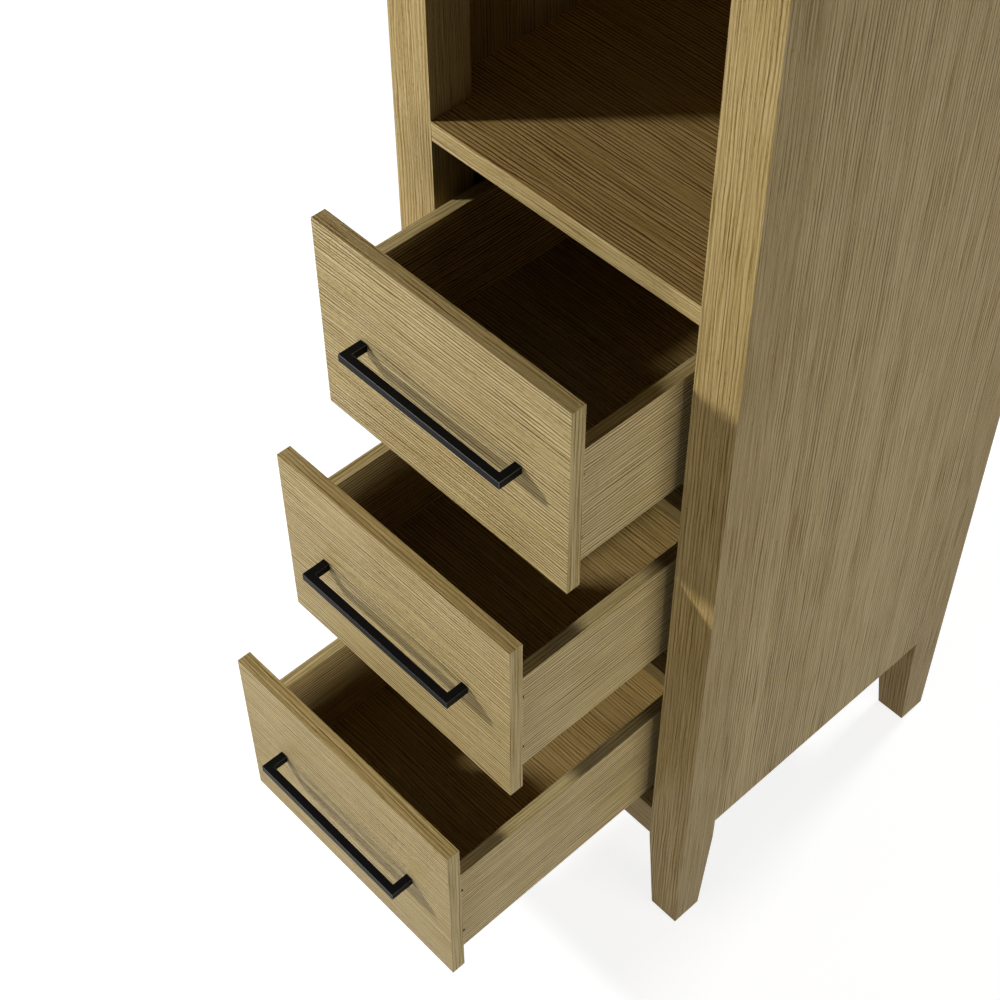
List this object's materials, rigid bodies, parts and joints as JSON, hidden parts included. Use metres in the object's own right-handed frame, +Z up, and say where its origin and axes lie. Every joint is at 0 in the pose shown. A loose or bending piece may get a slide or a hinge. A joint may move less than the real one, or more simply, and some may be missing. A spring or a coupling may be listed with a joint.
{
  "type": "bathroom cabinet",
  "caption": "Narrow oak bathroom cabinet on tapered legs: an open bay above inset drawers on concealed slides, with square bar pulls.",
  "frame": {"origin": "on the floor, at the middle of the footprint of the four posts", "axes": "+X to the cabinet's right as seen from the front, +Y to its back, +Z up; the drawers open along -Y"},
  "size_m": [0.48, 0.867, 1.524],
  "materials": {
    "oak_veneer": "straight-grain oak veneer, matt lacquer",
    "oak_inner": "plain oak, unseen side, matt",
    "black_metal": "satin black powder coat",
    "black_screw": "black oxide",
    "zinc_steel": "bright zinc plate",
    "grey_plastic": "moulded, fine texture"
  },
  "bodies": {
    "cabinet": {"front_left_post": "oak_veneer", "front_right_post": "oak_veneer", "rear_left_post": "oak_veneer", "rear_right_post": "oak_veneer", "left_side_panel": "oak_veneer", "right_side_panel": "oak_veneer", "back_panel": "oak_veneer", "top_panel": "oak_veneer", "bay_shelf": "oak_veneer", "upper_rail": "oak_veneer", "lower_rail": "oak_veneer", "front_apron": "oak_veneer", "bottom_panel": "oak_veneer", "top_cleats": "oak_inner", "middle_cleats": "oak_inner", "bottom_cleats": "oak_inner", "top_cabinet_slides": "zinc_steel", "middle_cabinet_slides": "zinc_steel", "bottom_cabinet_slides": "zinc_steel", "slide_screws": "zinc_steel"},
    "top_drawer": {"top_drawer_front": "oak_veneer", "top_drawer_left_side": "oak_veneer", "top_drawer_right_side": "oak_veneer", "top_drawer_inner_front": "oak_veneer", "top_drawer_back": "oak_veneer", "top_drawer_floor": "oak_veneer", "top_drawer_slides": "zinc_steel", "top_drawer_clips": "grey_plastic", "top_drawer_side_screws": "black_screw", "top_drawer_pull": "black_metal", "top_drawer_pull_screws": "zinc_steel"},
    "top_runner": {"top_runners": "zinc_steel"},
    "middle_drawer": {"middle_drawer_front": "oak_veneer", "middle_drawer_left_side": "oak_veneer", "middle_drawer_right_side": "oak_veneer", "middle_drawer_inner_front": "oak_veneer", "middle_drawer_back": "oak_veneer", "middle_drawer_floor": "oak_veneer", "middle_drawer_slides": "zinc_steel", "middle_drawer_clips": "grey_plastic", "middle_drawer_side_screws": "black_screw", "middle_drawer_pull": "black_metal", "middle_drawer_pull_screws": "zinc_steel"},
    "middle_runner": {"middle_runners": "zinc_steel"},
    "bottom_drawer": {"bottom_drawer_front": "oak_veneer", "bottom_drawer_left_side": "oak_veneer", "bottom_drawer_right_side": "oak_veneer", "bottom_drawer_inner_front": "oak_veneer", "bottom_drawer_back": "oak_veneer", "bottom_drawer_floor": "oak_veneer", "bottom_drawer_slides": "zinc_steel", "bottom_drawer_clips": "grey_plastic", "bottom_drawer_side_screws": "black_screw", "bottom_drawer_pull": "black_metal", "bottom_drawer_pull_screws": "zinc_steel"},
    "bottom_runner": {"bottom_runners": "zinc_steel"}
  },
  "joints": [
    {"name": "top_drawer_slide", "type": "slide", "parent": "cabinet", "child": "top_drawer", "axis": [0, -1, 0], "range_m": [-0.159, 0.291]},
    {"name": "top_runner_slide", "type": "slide", "parent": "cabinet", "child": "top_runner", "axis": [0, -1, 0], "range_m": [-0.0795, 0.1455]},
    {"name": "middle_drawer_slide", "type": "slide", "parent": "cabinet", "child": "middle_drawer", "axis": [0, -1, 0], "range_m": [-0.236, 0.214]},
    {"name": "middle_runner_slide", "type": "slide", "parent": "cabinet", "child": "middle_runner", "axis": [0, -1, 0], "range_m": [-0.118, 0.107]},
    {"name": "bottom_drawer_slide", "type": "slide", "parent": "cabinet", "child": "bottom_drawer", "axis": [0, -1, 0], "range_m": [-0.329, 0.121]},
    {"name": "bottom_runner_slide", "type": "slide", "parent": "cabinet", "child": "bottom_runner", "axis": [0, -1, 0], "range_m": [-0.1645, 0.0605]}
  ],
  "couplings": [
    {"joint": "top_runner_slide", "follows": "top_drawer_slide", "ratio": 0.5},
    {"joint": "middle_runner_slide", "follows": "middle_drawer_slide", "ratio": 0.5},
    {"joint": "bottom_runner_slide", "follows": "bottom_drawer_slide", "ratio": 0.5}
  ]
}
